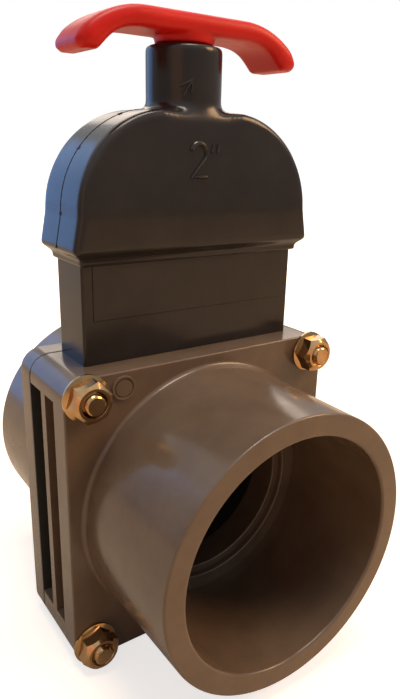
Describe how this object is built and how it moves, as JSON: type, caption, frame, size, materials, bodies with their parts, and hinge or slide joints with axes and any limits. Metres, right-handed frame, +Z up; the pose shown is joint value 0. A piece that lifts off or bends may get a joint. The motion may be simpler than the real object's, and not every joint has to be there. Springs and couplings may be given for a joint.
{
  "type": "pvc slide valve",
  "caption": "Pull-type PVC slide valve: flanged body with two solvent sockets, gate housing and bonnet, and a T handle that lifts the gate.",
  "frame": {"origin": "on the floor that the valve stands on, midway between the two sockets and between the flange's sides", "axes": "+Z up along the pull rod, +X across the valve, Y along the pipe with the front socket towards -Y"},
  "size_m": [0.0848, 0.1068, 0.1677],
  "materials": {
    "grey_pvc": "glossy moulded rigid PVC, warm grey",
    "dark_abs": "satin to glossy moulded plastic, charcoal",
    "seal_rubber": "matt moulded nitrile rubber",
    "gate_plastic": "smooth moulded plate, dark grey",
    "rod_steel": "drawn stainless steel",
    "red_plastic": "satin moulded plastic, red",
    "plated_steel": "yellow-passivated zinc on steel, bright"
  },
  "bodies": {
    "valve_body": {"front_body": "grey_pvc", "rear_body": "grey_pvc", "gate_housing": "dark_abs", "bonnet_cap": "dark_abs", "front_seal": "seal_rubber", "rear_seal": "seal_rubber", "rod_seal": "seal_rubber", "body_gasket": "seal_rubber", "bolt_top_left": "plated_steel", "bolt_top_right": "plated_steel", "bolt_foot_left": "plated_steel", "bolt_foot_right": "plated_steel", "nut_top_left": "plated_steel", "nut_top_right": "plated_steel", "nut_foot_left": "plated_steel", "nut_foot_right": "plated_steel"},
    "gate": {"gate_blade": "gate_plastic", "pull_rod": "rod_steel", "rod_rivet": "rod_steel", "handle": "red_plastic"}
  },
  "joints": [
    {"name": "gate_slide", "type": "slide", "parent": "valve_body", "child": "gate", "axis": [0, 0, 1], "range_m": [0, 0.0556]}
  ]
}
